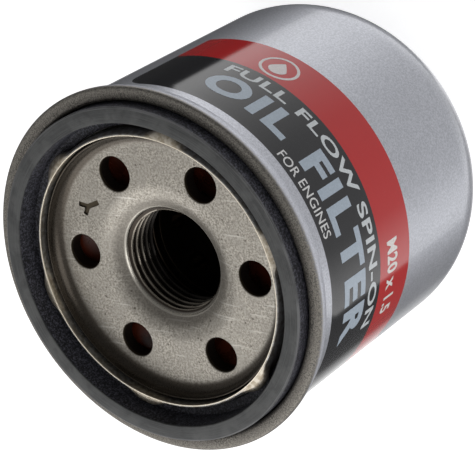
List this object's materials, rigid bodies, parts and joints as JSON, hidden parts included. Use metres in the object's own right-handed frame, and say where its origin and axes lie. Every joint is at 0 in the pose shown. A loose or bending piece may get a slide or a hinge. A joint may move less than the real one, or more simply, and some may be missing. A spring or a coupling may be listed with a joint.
{
  "type": "spin-on oil filter",
  "caption": "Round spin-on engine oil filter with a threaded base plate, inlet holes, face gasket, pleated element, anti-drain-back valve and bypass valve.",
  "frame": {"origin": "centre of the ring on the closed end that the filter stands on", "axes": "+Z along the thread axis from the closed end towards the engine; the printed band starts just past +X"},
  "size_m": [0.0674, 0.0674, 0.0682],
  "materials": {
    "can_paint": "satin silver-grey paint with a printed black and red band",
    "seam_steel": "bare grainy steel, darkened",
    "seam_compound": "matt sealing compound",
    "plate_steel": "mottled phosphated steel",
    "gasket_rubber": "matt black nitrile rubber",
    "valve_rubber": "red-brown rubber",
    "cap_steel": "tin-plated sheet",
    "adhesive": "cured amber adhesive",
    "filter_paper": "resin-treated filter paper",
    "tube_steel": "punched plated sheet",
    "valve_steel": "pressed plated steel",
    "spring_steel": "oiled spring steel"
  },
  "bodies": {
    "housing": {"canister": "can_paint", "gasket_retainer": "seam_steel", "seam_compound": "seam_compound", "base_plate": "plate_steel", "sealing_gasket": "gasket_rubber", "anti_drain_collar": "valve_rubber", "element_spring": "spring_steel"},
    "anti_drain_lip": {"anti_drain_flap": "valve_rubber"},
    "element": {"open_end_cap": "cap_steel", "open_end_adhesive": "adhesive", "pleated_media": "filter_paper", "media_seam_clip": "cap_steel", "centre_tube": "tube_steel", "closed_end_adhesive": "adhesive", "closed_end_cap": "cap_steel", "bypass_seat": "valve_steel", "bypass_cage": "valve_steel", "bypass_spring": "spring_steel"},
    "bypass_poppet": {"bypass_disc": "valve_steel", "bypass_seal": "gasket_rubber", "bypass_rivet": "valve_steel"}
  },
  "joints": [
    {"name": "anti_drain_flex", "type": "slide", "parent": "housing", "child": "anti_drain_lip", "axis": [0, 0, -1], "range_m": [0, 0.001], "stiffness_N_per_m": 600, "springref_m": -0.0015},
    {"name": "element_float", "type": "slide", "parent": "housing", "child": "element", "axis": [0, 0, -1], "range_m": [0, 0.0012], "stiffness_N_per_m": 8000, "springref_m": -0.005, "deforming": ["element_spring"]},
    {"name": "bypass_lift", "type": "slide", "parent": "element", "child": "bypass_poppet", "axis": [0, 0, 1], "range_m": [0, 0.0025], "stiffness_N_per_m": 2000, "springref_m": -0.005, "deforming": ["bypass_spring"]}
  ]
}
